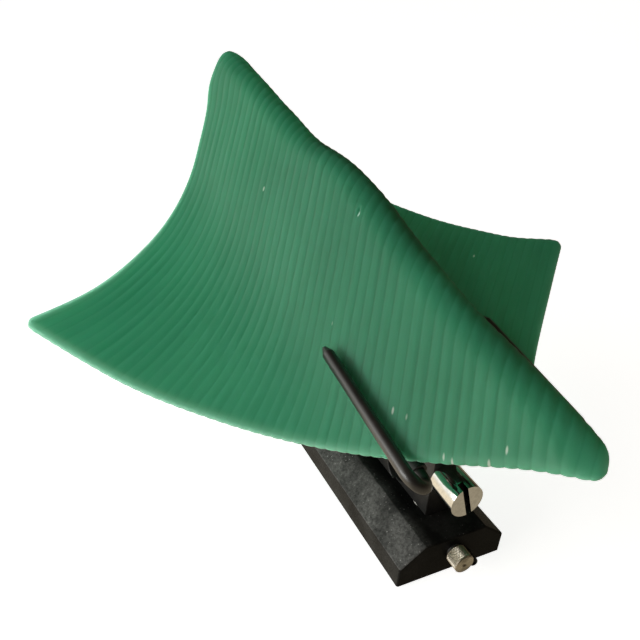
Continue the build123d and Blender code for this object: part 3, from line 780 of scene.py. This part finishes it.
def knob_outline():
    """Half section of the knob from the back, over the side, to the face with its turned rings."""
    points = [(KNOB_BACK + 2.4, 0), (KNOB_BACK + 2.4, 4.6), (KNOB_BACK, 4.65), (KNOB_BACK, 5.1),
              (KNOB_BACK + 0.15, 5.35), (KNOB_BACK + 0.5, 5.55)]
    x = KNOB_BACK + 0.7
    while x < KNOB_FRONT - 0.6:
        points.append((x, KNOB_RADIUS))
        x += 0.14
    points += [(KNOB_FRONT - 0.45, 5.55), (KNOB_FRONT - 0.18, 5.35), (KNOB_FRONT - 0.05, 5.1)]
    radius = 4.95
    while radius > 1.9:
        points.append((KNOB_FRONT - 0.06 - 0.16 * (0.5 + 0.5 * math.sin(radius * 8.0)), radius))
        radius -= 0.09
    points += [(KNOB_FRONT - 0.1, 1.8), (KNOB_FRONT - 0.35, 1.45), (KNOB_FRONT - 0.75, 0.9),
               (KNOB_FRONT - 0.95, 0.4), (KNOB_FRONT - 1.0, 0)]
    return points


knob = lathe("dimmer_knob_knurled", knob_outline(), KNURLS * 8, knurl)
knob.transform(Matrix.Translation((0, 0, KNOB_Z * MM)))
add_piece("dimmer_knob_knurled", smooth(knob, 40), "knob_nickel", "dimmer", "dimmer_knob")

# Ring section: flange inside the wall, neck through it, and three soft ribs outside.
GLAND_OUTLINE = [(124.8, 1.4), (124.8, 2.5), (125.0, 2.7), (126.0, 2.7), (126.0, 2.2), (130.0, 2.2),
                 (130.0, 2.7), (131.4, 2.7), (131.6, 2.45), (132.0, 2.45), (132.2, 2.65), (133.4, 2.6),
                 (133.6, 2.35), (134.0, 2.35), (134.2, 2.5), (135.6, 2.4), (136.2, 2.15), (136.5, 1.8),
                 (136.5, 1.4), (124.8, 1.4)]
gland = lathe("gland_collar", GLAND_OUTLINE, 48)
gland.transform(Matrix.Translation((0, GLAND_Y * MM, GLAND_Z * MM)))
add_piece("cord_gland_collar", smooth(gland, 50), "gland_rubber", "base", "cord_gland")


# ---- stage, light and camera --------------------------------------------------------
def floor():
    """Pale floor that only the camera sees."""
    work = bmesh.new()
    bmesh.ops.create_circle(work, cap_ends=True, radius=9.0, segments=64)
    thing = linked("floor", kept("floor", work))
    thing.location.z = -0.4 * MM
    material = bpy.data.materials.new("floor_white")
    tree = Tree(material)
    mottle = tree.ramp(tree.noise(tree.place(), 3.0), 0.3, 0.7)
    tone = tree.mix(mottle, (0.90, 0.90, 0.90), (0.93, 0.93, 0.93))
    bsdf = tree.add("BsdfPrincipled", {"Base Color": tone, "Roughness": 0.9, "Specular IOR Level": 0.0,
                                       "Emission Color": (1, 1, 1, 1), "Emission Strength": 0.86})
    tree.finish(bsdf, "OutputMaterial")
    thing.data.materials.append(material)
    thing.visible_diffuse = False
    thing.visible_glossy = False
    thing.visible_transmission = False
    thing.visible_shadow = False


def area(name, place, target, size, power, tint):
    """Rectangular soft light."""
    light = bpy.data.lights.new(name, "AREA")
    light.shape = "RECTANGLE"
    light.size, light.size_y = size
    light.energy = power
    light.color = tint
    thing = linked(name, light)
    thing.location = place
    thing.rotation_euler = (Vector(target) - Vector(place)).to_track_quat("-Z", "Y").to_euler()
    return thing


def sky():
    """Room: bright to the camera's left, dim and warm elsewhere, and plain white to the camera."""
    world = bpy.data.worlds.new("room")
    bpy.context.scene.world = world
    tree = Tree(world)
    direction = tree.add("TexCoord").outputs["Generated"]
    bright = Vector((-0.42, -0.88, -0.20)).normalized()
    height = tree.part(direction, "Z")
    walls = tree.mix(tree.ramp(height, -0.45, 0.05), (0.36, 0.31, 0.22), (0.045, 0.034, 0.022))
    window = tree.mix(tree.ramp(height, -0.35, 0.15), (1.05, 0.92, 0.70), (1.20, 1.20, 1.14))
    tone = tree.mix(tree.ramp(tree.dot(direction, bright), 0.30, 0.80), walls, window)
    room = tree.add("Background", {"Color": tone, "Strength": 1.0})
    white = tree.add("Background", {"Color": (1, 1, 1, 1), "Strength": 1.0})
    seen = tree.add("LightPath").outputs["Is Camera Ray"]
    both_skies = tree.add("MixShader", {0: seen, 1: room.outputs[0], 2: white.outputs[0]})
    tree.finish(both_skies, "OutputWorld")


def camera():
    """Looks down from the knob end, a little to the near side."""
    data = bpy.data.cameras.new("camera")
    data.sensor_width = 36.0
    data.lens = 39.37
    data.clip_start, data.clip_end = 0.01, 50.0
    thing = linked("camera", data)
    eye = Vector((319.41, -190.48, 293.49)) * MM
    ahead = Vector((-0.763, 0.4073, -0.5019)).normalized()
    upward = Vector((-0.4803, 0.1624, 0.862))
    right = ahead.cross(upward).normalized()
    upward = right.cross(ahead)
    turn = Matrix((right, upward, -ahead)).transposed().to_4x4()
    thing.matrix_world = Matrix.Translation(eye) @ turn
    bpy.context.scene.camera = thing


floor()
sky()
camera()
area("key", (0.05, -1.50, 0.32), (0.0, 0.0, 0.08), (1.2, 0.7), 13.5, (1.0, 1.0, 0.98))
table = area("table", (-0.22, -0.36, -0.30), (-0.02, -0.13, 0.08), (0.35, 0.30), 3.3, (1.0, 1.0, 0.95))
table.visible_glossy = False
area("fill", (0.5, 1.3, 0.9), (0.0, 0.0, 0.08), (0.8, 0.8), 1.2, (1.0, 0.84, 0.55))
bpy.context.scene.view_settings.view_transform = "Standard"
